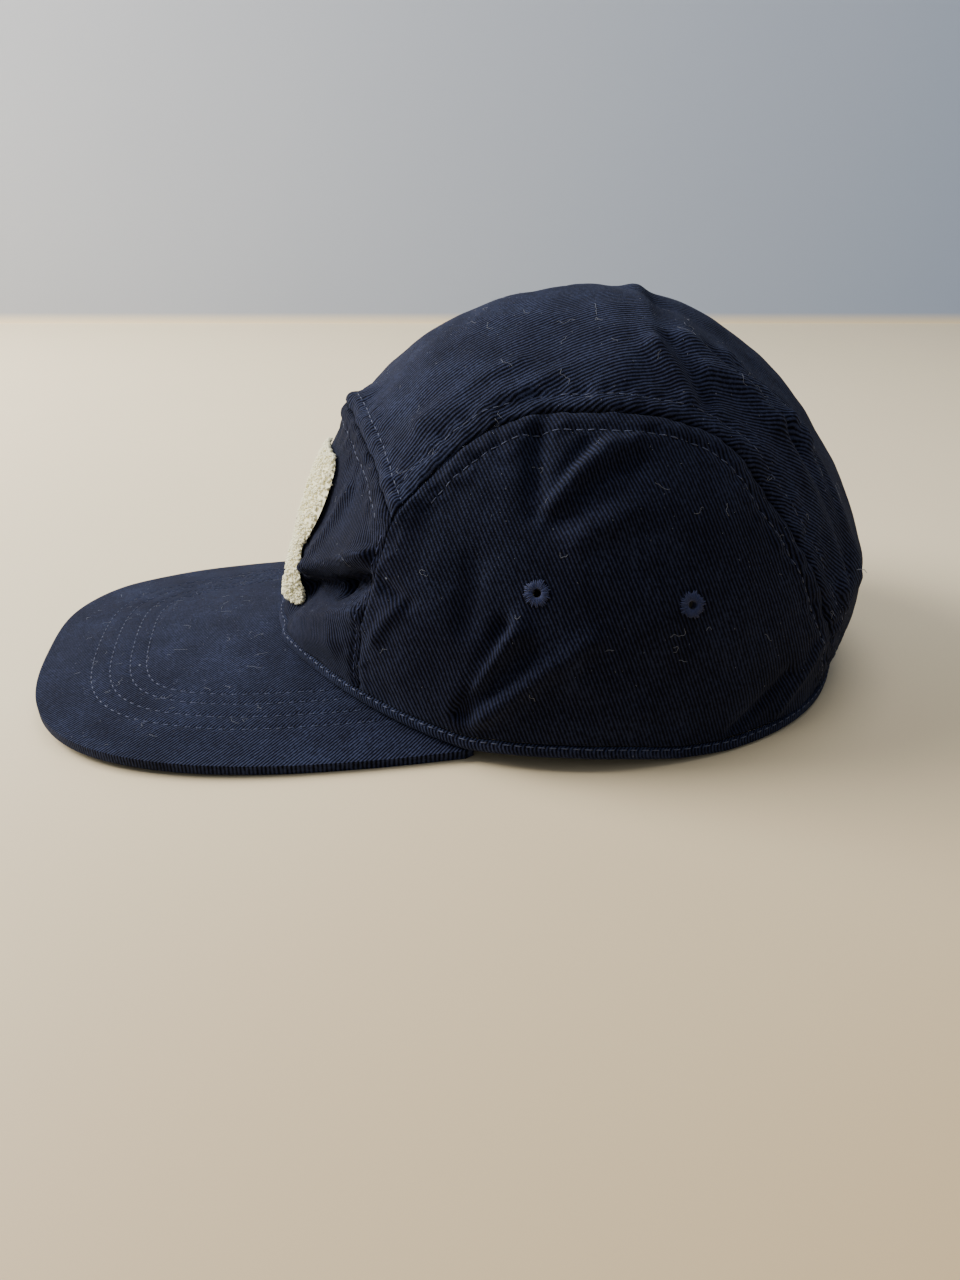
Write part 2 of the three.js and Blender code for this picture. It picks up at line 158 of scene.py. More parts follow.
# Cotton twill: slanted ribs of yarn on the piece's own weave map, paler on the crests from wear and from
# painted light, with painted shade between the ribs
twill = {
    "dark": shade("020207"), "navy": shade("10142a"), "pale": shade("353c56"), "lint": shade("868c9c"),
    "ribGap": 1.0, "yarnGap": 0.7, "yarnShift": 0.37, "ribDepth": 0.26, "bump": 0.85,
    "drift": 0.315, "driftScale": 260.0, "fuzzScale": 1500.0, "mottleScale": 70.0, "greyScale": 900.0,
    "ribHigh": 0.7, "yarnHigh": 0.22, "fuzzHigh": 0.35, "mottle": 0.6, "mottleLeast": 0.2,
    "litRib": 1.2, "litStart": 0.9, "litSpan": 1.2,
    "wornLitCloud": 2.8, "wornLitRib": 0.7, "wornLitStart": 0.82, "wornLitSpan": 0.8,
    "speckScale": 230.0, "speckSize": 0.10, "speckSpan": 0.06,
    "patchScale": 90.0, "patchStart": 0.60, "patchSpan": 0.08,
    "roughness": 0.9, "shine": 0.08, "sheen": 0.08, "sheenSpread": 0.5, "sheenTint": shade("9aa2bd"),
}


def twillFinish(name, slant, wearAndLight, ribGap=twill["ribGap"]):
    finish = Finish(name)
    place = finish.place()
    u, v, _ = finish.parts(finish.node("ShaderNodeUVMap", {"uv_map": "weave"}, {}))
    u, v = u * perMetre, v * perMetre
    cosine, sine = math.cos(math.radians(slant)), math.sin(math.radians(slant))
    drift = (finish.cloudy(place, twill["driftScale"], 2.0) - 0.5) * twill["drift"]
    across = u * cosine + v * sine + drift
    along = v * cosine - u * sine
    rib = (across * (2 * math.pi / ribGap)).math("SINE") * 0.5 + 0.5
    row = (across / ribGap).math("FLOOR") * twill["yarnShift"]
    yarn = ((along + row) * (2 * math.pi / twill["yarnGap"])).math("SINE") * 0.5 + 0.5
    fuzz = finish.cloudy(place, twill["fuzzScale"], 2.0, 0.7)
    height = rib * twill["ribHigh"] + yarn * rib * twill["yarnHigh"] + fuzz * twill["fuzzHigh"]
    mottle = finish.cloudy(place, twill["mottleScale"], 4.0) * twill["mottle"] + twill["mottleLeast"]
    grey = finish.cloudy(place, twill["greyScale"], 2.0, 0.8)
    # Painted shade: darker between the ribs, and darker over the whole piece where its wear setting is low
    lit = rib * twill["litRib"] + grey + mottle * wearAndLight - twill["litStart"]
    colour = finish.blend(lit.between(0.0, twill["litSpan"]), twill["dark"], twill["navy"])
    # Paler crests: partly real wear, partly a painted highlight on the ribs, scaled by the piece's wear
    # setting
    wornAndLit = mottle * grey * twill["wornLitCloud"] + rib * twill["wornLitRib"] - twill["wornLitStart"]
    colour = finish.blend(wornAndLit.between(0.0, twill["wornLitSpan"]) * wearAndLight, colour, twill["pale"])
    specks = finish.node("ShaderNodeTexVoronoi", {}, {"Vector": place, "Scale": twill["speckScale"]})
    speck = (twill["speckSize"] - specks).between(0.0, twill["speckSpan"])
    patches = finish.cloudy(place, twill["patchScale"]) - twill["patchStart"]
    colour = finish.blend(speck * patches.between(0.0, twill["patchSpan"]), colour, twill["lint"])
    return finish.surface(Base_Color=colour, Roughness=twill["roughness"], Sheen_Weight=twill["sheen"],
                          Normal=finish.bump(twill["bump"], twill["ribDepth"] * mm, height),
                          Sheen_Roughness=twill["sheenSpread"], Sheen_Tint=twill["sheenTint"],
                          Specular_IOR_Level=twill["shine"])


thread = {"strandScale": 2400.0, "bump": 0.7, "depth": 0.1, "roughness": 0.75, "sheen": 0.2, "shine": 0.3}


def threadFinish(name, first, second):
    finish = Finish(name)
    place = finish.place()
    strands = finish.cloudy(place, thread["strandScale"], 2.0, 0.7)
    colour = finish.blend(strands, shade(first), shade(second))
    return finish.surface(Base_Color=colour, Roughness=thread["roughness"], Sheen_Weight=thread["sheen"],
                          Normal=finish.bump(thread["bump"], thread["depth"] * mm, strands),
                          Specular_IOR_Level=thread["shine"])


# The crown as seen from the middle of its open foot. Angles in degrees, sizes in millimetres.
crown = {
    "height": 118.0, "centreY": 44.0, "cloth": 1.8, "tuckSpread": 14.0, "sectionStep": 30.0,
    "reach": [96, 106.5, 99, 95.5, 95.5, 102, 99],
    "roundness": [2.2, 1.95, 1.9, 2.05, 2, 1.75, 2],
    "tuck": [-11, 6.5, 0.5, 1.5, 4.5, 14.5, 9],
}
# Seam between side panel and strip: azimuth, elevation, and where the strip's centre line is
archSeam = {
    "azimuth": [38, 42, 49.5, 61, 75.5, 91, 102.5, 111, 117, 122, 126, 131.5, 136],
    "elevation": [35, 44, 51.5, 56, 56.5, 55.5, 53, 48, 39, 29, 19.5, 11, 5.5],
    "middle": [47, 58, 69, 79, 87, 95, 103, 112, 124, 136, 149, 161.5, 173],
}
sideFoot = {"front": 34.5, "rear": 138.0}
band = {"height": 4.0, "thickness": 2.2, "proud": 0.3, "end": 159.0, "gap": 0.4, "footGap": 0.25}
peak = {
    "halfWidth": 82.0, "endReach": 55.0, "tipReach": 181.0, "squareness": 3.1, "thickness": 3.0,
    "tipLift": 4.3, "rootLift": 9.2, "rootReach": 100.0, "arch": 1.65, "end": 57.0,
}
edgeLift = {"azimuth": [57, 62, 72, 82, 92, 102, 180], "height": [3.6, 4, 4, 3, 1, 0, 0]}
# The opening at the back, and how the strip's rear end runs along the foot before it rises over it
backOpening = {
    "halfWidth": 34.0, "height": 42.0, "squareness": 0.9, "footReach": 84.0,
    "footShare": 0.17, "blendStart": 0.9, "blendSpan": 0.25, "nearest": 60.0, "farthest": 140.0,
}
# Shares of the strip's length at which its seam turns to the foot, and its rear end begins
stripTurn = {"seam": 0.985, "rear": 0.66}
# Where the searches begin and end, and how finely the look-ups are laid out
search = {
    "lowest": -10.0, "highest": 60.0, "halvings": 30, "edgeTries": 6, "edgeSteps": 721,
    "rearSteps": 801, "normalStep": 0.01,
}

# Folds: from, to, height, width, and the share of it on the far side
folds = [
    ("front middle", (0, 20), (0, 38), 3, 22, 0),
    ("front side", (24, 26), (22, 40), -3, 14, 1),
    ("corner crease", (0, 48), (38, 36.5), 2.5, 7, 1),
    ("front dent", (6, 13), (31, 22.5), -4.5, 6, 1),
    ("front upper bulge", (14, 24), (28, 29), 1.6, 6, 1),
    ("front lower bulge", (10, 8), (28, 13), 1.6, 5, 1),
    ("side groove upper", (63, 54), (63, 42), -1.2, 4, 0),
    ("side ridge upper", (85, 52), (64.5, 42), 1.5, 3.5, 0.7),
    ("side groove middle", (85, 48.5), (68, 39.5), -1.3, 4, 0.7),
    ("side ridge middle", (83, 41.5), (73, 37), 1.2, 4, 0.5),
    ("side ridge lower", (63.5, 22.5), (54.5, 8), 2.2, 4, 0.8),
    ("side groove lower", (65, 20), (56, 8.5), -2.4, 3.5, 0.8),
    ("side ridge foot", (76, 22), (59, 9), 1.8, 4, 0.6),
    ("side crease", (54.5, 32), (54.5, 23), -1.2, 4, 0.5),
    ("rear dent", (113, 45.5), (115, 41), -1.2, 5, 0.5),
    ("top ridge", (34, 49.5), (49, 58.5), 1, 4, 0.6),
    ("top crease", (150, 80), (92, 61.5), -1.2, 6, 0),
    ("top hollow", (101, 59.5), (117, 57.5), -1.4, 8, 0.5),
    ("back ridge high", (116, 69), (128, 51.5), 1.8, 4, 0.6),
    ("back ridge low", (128, 51.5), (132.5, 19), 2, 4, 0.6),
    ("back groove high", (126, 66), (135, 48), -1.8, 3.5, 0.6),
    ("back groove low", (135, 48), (136, 23), -2.2, 3.5, 0.6),
    ("back rim high", (137, 65), (141, 48), 1.4, 4, 0.6),
    ("back rim low", (141, 48), (143, 21), 1.4, 4, 0.6),
]


def smoothBetween(rows, share):
    a, b, c, d = rows
    bend = (2 * a - 5 * b + 4 * c - d) * share + (3 * b - a - 3 * c + d) * share ** 2
    return b + 0.5 * share * (c - a + bend)


# Smooth values round the crown, where the first and last sections are mirrored
def throughRows(values, place):
    values = np.array(values, float)
    last = len(values) - 1
    place = np.clip(place, 0, last)
    start = np.minimum(np.floor(place), last - 1).astype(int)
    share = place - start
    rows = (values[last - np.abs(last - np.abs(start + step))] for step in (-1, 0, 1, 2))
    return smoothBetween(rows, share)


# Smooth values along a seam, from its first to its last
def alongRows(values, share):
    values = np.array([2 * values[0] - values[1], *values, 2 * values[-1] - values[-2]], float)
    place = np.asarray(share, float) * (len(values) - 3)
    start = np.clip(np.floor(place), 0, len(values) - 4).astype(int)
    share = place - start
    return smoothBetween((values[start + step] for step in (0, 1, 2, 3)), share)


def direction(azimuth, elevation):
    azimuth, elevation = np.broadcast_arrays(np.radians(azimuth), np.radians(elevation))
    flat = np.cos(elevation)
    return np.stack([np.sin(azimuth) * flat, -np.cos(azimuth) * flat, np.sin(elevation)], -1)


def unit(vectors):
    return vectors / np.linalg.norm(vectors, axis=-1, keepdims=True)


def mirrored(vectors):
    return vectors * np.array([-1, 1, 1])


def mix(first, second, share):
    share = np.asarray(share, float)[..., None]
    return first * (1 - share) + second * share


def hump(distance, width):
    return np.exp(-(distance / width) ** 2)


def foldOffset(toward, rows):
    offset = np.zeros(toward.shape[:-1])
    for _, start, end, height, width, far in rows:
        for sign, share in ((1, 1), (-1, far)):
            if share:
                first = direction(*start) * [sign, 1, 1]
                line = direction(*end) * [sign, 1, 1] - first
                place = np.clip((toward - first) @ line / (line @ line), 0, 1)
                away = np.linalg.norm(first + place[..., None] * line - toward, axis=-1)
                offset += height * share * hump(away * crown["height"], width)
    return offset


def crownReach(toward):
    azimuth = np.abs(np.degrees(np.arctan2(toward[..., 0], -toward[..., 1])))
    elevation = np.degrees(np.arcsin(np.clip(toward[..., 2], -1, 1)))
    place = azimuth / crown["sectionStep"]
    reach, roundness, tuck = (throughRows(crown[key], place) for key in ("reach", "roundness", "tuck"))
    flat = np.hypot(toward[..., 0], toward[..., 1])
    total = (flat / reach) ** roundness + (np.maximum(toward[..., 2], 0) / crown["height"]) ** roundness
    foot = tuck * hump(elevation, crown["tuckSpread"])
    return total ** (-1 / roundness) - foot + foldOffset(toward, folds)


crownMiddle = np.array([0, crown["centreY"], 0])


def outerPoint(toward):
    return toward * crownReach(toward)[..., None] + crownMiddle


def crownNormal(toward):
    step = search["normalStep"]
    side = unit(np.stack([-toward[..., 1], toward[..., 0] + 1e-9, np.zeros(toward.shape[:-1])], -1))
    rise = unit(np.cross(toward, side))
    across = outerPoint(unit(toward + side * step)) - outerPoint(unit(toward - side * step))
    upward = outerPoint(unit(toward + rise * step)) - outerPoint(unit(toward - rise * step))
    normal = unit(np.cross(across, upward))
    return normal * np.sign((normal * toward).sum(-1, keepdims=True))


def towardHeight(azimuth, height):
    low, high = (np.full(np.shape(azimuth), search[key]) for key in ("lowest", "highest"))
    for _ in range(search["halvings"]):
        middle = (low + high) / 2
        under = outerPoint(direction(azimuth, middle))[..., 2] < height
        low, high = np.where(under, middle, low), np.where(under, high, middle)
    return direction(azimuth, (low + high) / 2)


def wallPoint(azimuth, height, depth):
    toward = towardHeight(azimuth, height)
    inward = unit(crownNormal(toward) * [1, 1, 0])
    return outerPoint(toward) - inward * np.asarray(depth, float)[..., None]


def peakUnderside(x, y):
    rise = (peak["tipReach"] - (crown["centreY"] - y)) / (peak["tipReach"] - peak["rootReach"])
    middle = peak["tipLift"] + (peak["rootLift"] - peak["tipLift"]) * rise
    return middle * (1 - np.minimum(np.abs(x) / peak["halfWidth"], 1) ** peak["arch"])


# Lower edge and foot of the panels, worked out once round the cap and then looked up
def edgeRound():
    around = np.linspace(-180, 180, search["edgeSteps"])
    height = np.full(around.shape, peak["rootLift"])
    for _ in range(search["edgeTries"]):
        wall = wallPoint(around, height, band["thickness"] / 2)
        height = peakUnderside(wall[..., 0], wall[..., 1]) + peak["thickness"] + band["gap"]
    away = np.abs(around)
    height = np.where(away < peak["end"], height, np.interp(away, edgeLift["azimuth"], edgeLift["height"]))
    foot = towardHeight(around, height + band["height"] + band["footGap"])
    return around, height, np.degrees(np.arcsin(foot[:, 2]))


roundAzimuth, roundEdge, roundFoot = edgeRound()


def edgeHeight(azimuth):
    return np.interp(azimuth, roundAzimuth, roundEdge)


def footToward(azimuth):
    return direction(azimuth, np.interp((azimuth + 180) % 360 - 180, roundAzimuth, roundFoot))


def archToward(share):
    return direction(alongRows(archSeam["azimuth"], share), alongRows(archSeam["elevation"], share))


def seamToward(share):
    turn = stripTurn["seam"]
    share = np.asarray(share, float)
    foot = footToward(sideFoot["rear"])
    tail = np.clip((share - turn) / (1 - turn), 0, 1)
    return unit(mix(archToward(np.minimum(share / turn, 1)), foot, tail))


def stripToward(share, across):
    left = archToward(share)
    middle = direction(0, alongRows(archSeam["middle"], share))
    pull = middle * 2 - left * [0, 1, 1]
    across = np.asarray(across, float)[..., None]
    return unit(left * (1 - across) ** 2 + pull * 2 * across * (1 - across) + mirrored(left) * across ** 2)


def frontToward(across, up):
    foot = footToward(sideFoot["front"] * (1 - 2 * across))
    return unit(mix(foot, stripToward(np.zeros_like(across), across), up))


def sideToward(along, up):
    foot = footToward(sideFoot["front"] + (sideFoot["rear"] - sideFoot["front"]) * along)
    return unit(mix(foot, archToward(along), up))


# The strip's rear end: along the foot, up and over the opening, and along the foot again
def rearRound(across):
    share = backOpening["footShare"]
    halfAngle = math.degrees(math.asin(backOpening["halfWidth"] / backOpening["footReach"]))
    footRow = [sideFoot["rear"], 180 - halfAngle]
    leftFoot = footToward(np.interp(across, [0, share], footRow))
    rightFoot = footToward(360 - np.interp(1 - across, [0, share], footRow))
    turn = np.clip((across - share) / (1 - 2 * share), 0, 1) * math.pi
    x = backOpening["halfWidth"] * np.cos(turn)
    foot = band["height"] + band["footGap"]
    z = foot + (backOpening["height"] - foot) * np.sin(turn) ** backOpening["squareness"]
    low, high = (np.full(x.shape, backOpening[key]) for key in ("nearest", "farthest"))
    for _ in range(search["halvings"]):
        y = (low + high) / 2
        point = np.stack([x, y - crown["centreY"], z], -1)
        inside = np.linalg.norm(point, axis=-1) < crownReach(unit(point))
        low, high = np.where(inside, y, low), np.where(inside, high, y)
    arch = unit(np.stack([x, low - crown["centreY"], z], -1))
    start, span = share * backOpening["blendStart"], share * backOpening["blendSpan"]
    blendIn = np.clip((np.minimum(across, 1 - across) - start) / span, 0, 1)
    return unit(mix(np.where((across < 0.5)[..., None], leftFoot, rightFoot), arch, blendIn))


rearAcross = np.linspace(0, 1, search["rearSteps"])
rearLine = rearRound(rearAcross)


def rearToward(across):
    return unit(np.stack([np.interp(across, rearAcross, rearLine[:, axis]) for axis in range(3)], -1))


# The strip: along its seams as far as its rear end begins, then a patch between its four edges
def topToward(across, along):
    turn = stripTurn["rear"]
    share = np.clip((along - turn) / (1 - turn), 0, 1)
    top = stripToward(np.full_like(across, turn), across)
    left = seamToward(np.maximum(along, turn))
    end = rearToward(across)
    corner = [stripToward(np.array([turn]), np.array([side]))[0] for side in (0.0, 1.0)]
    heel = [rearToward(np.array([side]))[0] for side in (0.0, 1.0)]
    patchwork = mix(top, end, share) + mix(left, mirrored(left), across)
    patchwork -= mix(mix(corner[0], corner[1], across), mix(heel[0], heel[1], across), share)
    strip = stripToward(np.minimum(along, turn), across)
    return unit(np.where((along <= turn)[..., None], strip, patchwork))


def polyline(towardAt, count):
    return towardAt(np.linspace(0, 1, count))


def besides(line, offset):
    heading = unit(np.gradient(line, axis=0))
    return unit(line + unit(np.cross(line, heading)) * (offset / crownReach(line))[..., None])


def alongRim(share):
    return rearToward(backOpening["footShare"] + (1 - 2 * backOpening["footShare"]) * share)


archLeft = polyline(seamToward, 320)
frontSeam = polyline(lambda share: stripToward(np.zeros_like(share), share), 180)
cornerSeam = polyline(lambda share: frontToward(np.zeros_like(share), share), 90)
rearRim = polyline(alongRim, 160)

# Rows of stitches beside the seams, and how far from them
rowGap = {"arch": 5.6, "front": 5.0, "corner": 2.0, "rim": 6.0}
stitchLines = {
    "archUpper": besides(archLeft[6:], rowGap["arch"]),
    "archLower": besides(archLeft[14:], -rowGap["arch"]),
    "frontUpper": besides(frontSeam[3:-3], -rowGap["front"]),
    "frontLower": besides(frontSeam[6:-6], rowGap["front"]),
    "corner": besides(cornerSeam[4:-4], rowGap["corner"]),
    "rim": besides(rearRim[2:-2], rowGap["rim"]),
}
for name in ("archUpper", "archLower", "corner"):
    stitchLines[name + "Right"] = mirrored(stitchLines[name])
print("seam lines laid out")


def treeOf(lines):
    points = np.vstack([outerPoint(line) for line in lines])
    tree = kdtree.KDTree(len(points))
    for index, point in enumerate(points):
        tree.insert(point, index)
    tree.balance()
    return tree


seamTree = treeOf([archLeft, mirrored(archLeft), frontSeam])
cornerTree = treeOf([cornerSeam, mirrored(cornerSeam)])
rowTree = treeOf(stitchLines.values())
rimTree = treeOf([rearRim])

relief = {
    "groove": 0.6, "grooveWidth": 0.65, "corner": 0.12, "row": 0.3, "rowWidth": 0.7,
    "welt": 0.35, "weltPlace": 3.0, "weltWidth": 1.9, "rim": 0.4, "rimPlace": 2.5, "rimWidth": 2.2,
    "crumple": 0.7, "crumpleScales": (0.055, 0.13), "crumpleFine": 0.5,
    "pucker": 0.85, "puckerScales": (0.25, 0.55), "puckerFine": 0.4, "puckerReach": 5.0,
}

# Small sharp creases on top of the crown's folds, listed in the same way
creases = [
    ("front pinch", (10, 17), (24, 21.5), -4.8, 2.6, 0.8),
    ("front pinch end", (24, 21.5), (34.5, 25.5), -5.4, 2.2, 0.8),
    ("front pinch lip", (13, 21.5), (34, 29), 3.4, 2.5, 0.8),
    ("front pinch heel", (12, 12), (34, 20), 1.8, 3.2, 0.8),
    ("corner knot", (38, 26), (44, 24), -1.6, 2.4, 0.6),
    ("corner knot low", (38.5, 17), (43, 24), 1.0, 2.4, 0.6),
    ("middle ridge", (19, 37), (14, 22.5), 1.1, 2.4, 0.5),
    ("side groove tall", (61.5, 53), (64, 40.5), -1.8, 2.4, 0.5),
    ("side ridge tall", (78.5, 51), (67.5, 42), 1.3, 2.6, 0.5),
    ("side groove beside", (73.5, 51.5), (65.5, 42.5), -1.3, 2.2, 0.5),
    ("side ridge short", (81, 46), (71, 42), 0.9, 2.2, 0),
    ("foot groove", (61, 23.5), (54.5, 8), -2.2, 2.6, 0.6),
    ("foot ridge", (63.5, 25), (58, 14), 0.9, 2.8, 0.6),
    ("foot ridge beside", (69.5, 18), (57.5, 7), 1.2, 2.4, 0.4),
    ("heel tuck", (115, 11.5), (103, 4), -1.6, 3.0, 0.7),
    ("heel tuck rear", (124, 14), (114, 5), 1.3, 3.0, 0.7),
    ("crown ridge", (174.5, 83), (98, 68), 1.6, 4.0, 0),
    ("crown ridge fall", (98, 68), (102.5, 58), 1.8, 3.2, 0.5),
    ("crown furrow", (108, 69), (108, 58), -1.5, 3.2, 0.5),
    ("back ridge top", (114, 62.5), (138, 51.5), 1.5, 3.0, 0.5),
    ("back ridge side", (138, 51.5), (131.5, 22), 1.4, 2.8, 0.5),
    ("back furrow top", (136, 63), (150, 49.5), -1.6, 2.8, 0.5),
    ("back furrow side", (142, 44), (137, 20), -1.6, 2.4, 0.5),
    ("front corner sweep", (32, 50.5), (50, 64.5), 0.8, 3.0, 0.5),
    ("front corner sweep two", (45, 53), (64.5, 63.5), 0.8, 2.6, 0.5),
    ("seam dip", (52, 56), (66, 60), -0.8, 2.4, 0.5),
]


def distances(tree, points):
    return np.array([tree.find(point)[2] for point in points])


def clouds(points, scales, fine):
    return np.array([noise.noise(Vector(point) * scales[0]) + fine * noise.noise(Vector(point) * scales[1])
                     for point in points])


# A point of the sewn cloth: the crown, its seams, its stitched rows and its small crumples
def clothPoint(toward):
    base, normal = outerPoint(toward), crownNormal(toward)
    seam, corner, row, rim = (distances(tree, base) for tree in (seamTree, cornerTree, rowTree, rimTree))
    height = foldOffset(toward, creases)
    height -= relief["groove"] * hump(seam, relief["grooveWidth"])
    height -= relief["corner"] * hump(corner, relief["grooveWidth"])
    height += relief["welt"] * hump(seam - relief["weltPlace"], relief["weltWidth"])
    height -= relief["row"] * hump(row, relief["rowWidth"])
    height += relief["rim"] * hump(rim - relief["rimPlace"], relief["rimWidth"])
    height += relief["crumple"] * clouds(base, relief["crumpleScales"], relief["crumpleFine"])
    pucker = clouds(base, relief["puckerScales"], relief["puckerFine"])
    near = np.minimum(np.minimum(seam, corner), row)
    height += relief["pucker"] * pucker * hump(near, relief["puckerReach"])
    return base + normal * height[..., None], normal


def ready(name, bm, material, replaced=()):
    mesh = bpy.data.meshes.new(name)
    bm.to_mesh(mesh)
    bm.free()
    for polygon in mesh.polygons:
        polygon.use_smooth = True
    piece = bpy.data.objects.new(name, mesh)
    scene.collection.objects.link(piece)
    mesh.materials.append(material)
    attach(piece, "root")
    if replaced:
        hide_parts(*replaced)
    print(name, len(mesh.polygons), "faces")
    return piece


# A grid of cloth, placed by a rule, with its weave map in metres
def clothGrid(columns, rows, placeAt, weaveAt):
    bm = bmesh.new()
    weave = bm.loops.layers.uv.new("weave")
    bmesh.ops.create_grid(bm, x_segments=columns, y_segments=rows, size=1.0)
    flat = np.array([vert.co[:2] for vert in bm.verts])
    flat = (flat - flat.min(0)) / (flat.max(0) - flat.min(0))
    place = placeAt(flat[:, 0], flat[:, 1])
    lie = weaveAt(flat, place)
    for vert, point in zip(bm.verts, place):
        vert.co = Vector(point) * mm
    for face in bm.faces:
        for loop in face.loops:
            loop[weave].uv = lie[loop.vert.index] * mm
    return bm


def turnOutward(bm, centre):
    bm.normal_update()
    outward = sum(face.normal.dot(face.calc_center_median() - centre) for face in bm.faces)
    if outward < 0:
        bmesh.ops.reverse_faces(bm, faces=bm.faces[:])
    bm.normal_update()


def wall(piece, thickness):
    solid = piece.modifiers.new("wall", "SOLIDIFY")
    solid.thickness = thickness * mm
    solid.offset = -1
    return piece


def roundedEdges(piece, width, segments):
    bevel = piece.modifiers.new("roundedEdges", "BEVEL")
    bevel.width = width * mm
    bevel.segments = segments
    bevel.limit_method = "ANGLE"
    bevel.angle_limit = math.radians(sharpEdge)


crownCentre = Vector((0, crown["centreY"], 20)) * mm
sharpEdge = 55
# The cloth's radius from the crown's middle, across and along its threads
weaveRadius = {"front": (95, 100), "strip": (102, 105)}


# Distances over the cloth from a middle line, for the weave
def arcWeave(flat, place):
    columns = np.unique(flat[:, 0].round(6))
    rows = np.unique(flat[:, 1].round(6))
    order = np.lexsort((flat[:, 0].round(6), flat[:, 1].round(6)))
    grid = place[order].reshape(len(rows), len(columns), 3)
    across = np.linalg.norm(np.diff(grid, axis=1), axis=-1).cumsum(1)
    across = np.hstack([np.zeros((len(rows), 1)), across])
    across -= across[:, len(columns) // 2][:, None]
    along = np.linalg.norm(np.diff(grid[:, len(columns) // 2], axis=0), axis=-1).cumsum()
    along = np.broadcast_to(np.concatenate([[0], along])[:, None], across.shape)
    lie = np.empty((len(flat), 2))
    lie[order] = np.stack([across.ravel(), along.ravel()], -1)
    return lie


def sideWeave(flat, place):
    return outerPoint(unit(place - crownMiddle))[:, [1, 2]]


def frontWeave(flat, place):
    toward = unit(place - crownMiddle)
    lie = np.stack([np.arctan2(toward[:, 0], -toward[:, 1]), np.arcsin(toward[:, 2])], -1)
    return lie * weaveRadius["front"]


def stripWeave(flat, place):
    toward = unit(place - crownMiddle)
    lie = np.stack([np.arcsin(toward[:, 0]), np.arctan2(toward[:, 1], toward[:, 2])], -1)
    return lie * weaveRadius["strip"]


def planWeave(flat, place):
    return place[:, [0, 1]]


# The wear setting also paints light: the top and the peak, which face the light, are paler than the front
# and the sides
clothFront = twillFinish("frontTwill", 25.0, wearAndLight=0.38)
clothTop = twillFinish("topTwill", 8.0, wearAndLight=0.75)
clothSide = twillFinish("sideTwill", 20.0, wearAndLight=0.45)
clothPeak = twillFinish("peakTwill", 45.0, wearAndLight=0.75, ribGap=0.9)
clothBand = twillFinish("bandTwill", 14.0, wearAndLight=0.9, ribGap=1.05)
print("cloth finishes made")

# Sewn panels of the crown
panels = {"frontGrid": (120, 76), "topGrid": (104, 300), "sideGrid": (150, 112)}


def makePanel(name, node, grid, towardAt, weaveAt, material):
    bm = clothGrid(*grid, lambda s, t: clothPoint(towardAt(s, t))[0], weaveAt)
    turnOutward(bm, crownCentre)
    return wall(ready(name, bm, material, [node]), crown["cloth"])


# Eyelets: azimuth and elevation of each, its threads, and the short sleeve through the cloth
eyelets = {
    "places": [("front", 66.2, 29.0), ("rear", 93.3, 27.2)],
    "threads": 40, "sway": 0.03, "halfLength": (1.1, 1.5), "inner": 1.05, "threadWidth": 0.22,
    "threadHeight": 0.5, "lift": 0.25, "unevenness": (-0.05, 0.1),
    "sleeve": 1.25, "sleeveTop": 0.3, "sleeveLength": 2.6, "sleeveSides": 28, "cut": 2.1,
}


# Round holes through the cloth, under the eyelets
def pierce(piece, centres):
    bm = bmesh.new()
    bm.from_mesh(piece.data)
    near = [face for face in bm.faces
            if min((face.calc_center_median() - centre).length for centre in centres) < eyelets["cut"] * mm]
    bmesh.ops.delete(bm, geom=near, context="FACES")
    bm.to_mesh(piece.data)
    bm.free()


makePanel("frontPanelCloth", "front_panel", panels["frontGrid"], frontToward, frontWeave, clothFront)
makePanel("topPanelCloth", "top_panel", panels["topGrid"], topToward, stripWeave, clothTop)


threadNavy = threadFinish("navyThread", "0d1330", "2f3b6b")
threadPale = threadFinish("topstitchThread", "1a2038", "4a5370")


# A stitched eyelet: threads laid round the hole, over a short sleeve
def makeEyelet(name, node, toward):
    centre, normal = clothPoint(toward)
    stand = Vector(normal[0]).to_track_quat("Z", "Y").to_matrix().to_4x4()
    stand.translation = Vector(centre[0]) * mm
    bm = bmesh.new()
    random.seed(name)
    for index in range(eyelets["threads"]):
        sway = random.uniform(-eyelets["sway"], eyelets["sway"])
        turn = Matrix.Rotation(2 * math.pi * index / eyelets["threads"] + sway, 4, "Z")
        reach = random.uniform(*eyelets["halfLength"])
        place = (eyelets["inner"] + reach, 0, eyelets["lift"] + random.uniform(*eyelets["unevenness"]))
        shape = Matrix.Diagonal((reach, eyelets["threadWidth"], eyelets["threadHeight"], 1))
        lay = Matrix.Translation(place) @ shape
        bmesh.ops.create_icosphere(bm, subdivisions=2, radius=1, matrix=turn @ lay)
    ring = bmesh.ops.create_circle(bm, cap_ends=False, radius=eyelets["sleeve"],
                                   segments=eyelets["sleeveSides"])["verts"]
    bmesh.ops.translate(bm, verts=ring, vec=(0, 0, eyelets["sleeveTop"]))
    bm.edges.index_update()
    edges = sorted({edge for vert in ring for edge in vert.link_edges}, key=lambda edge: edge.index)
    sleeve = bmesh.ops.extrude_edge_only(bm, edges=edges)["geom"]
    bmesh.ops.translate(bm, verts=[item for item in sleeve if isinstance(item, bmesh.types.BMVert)],
                        vec=(0, 0, -eyelets["sleeveLength"]))
    bmesh.ops.scale(bm, verts=bm.verts[:], vec=(mm, mm, mm))
    bmesh.ops.transform(bm, matrix=stand, verts=bm.verts[:])
    ready(name, bm, threadNavy, [node])
    return Vector(centre[0]) * mm


def rightToward(along, up):
    return mirrored(sideToward(along, up))


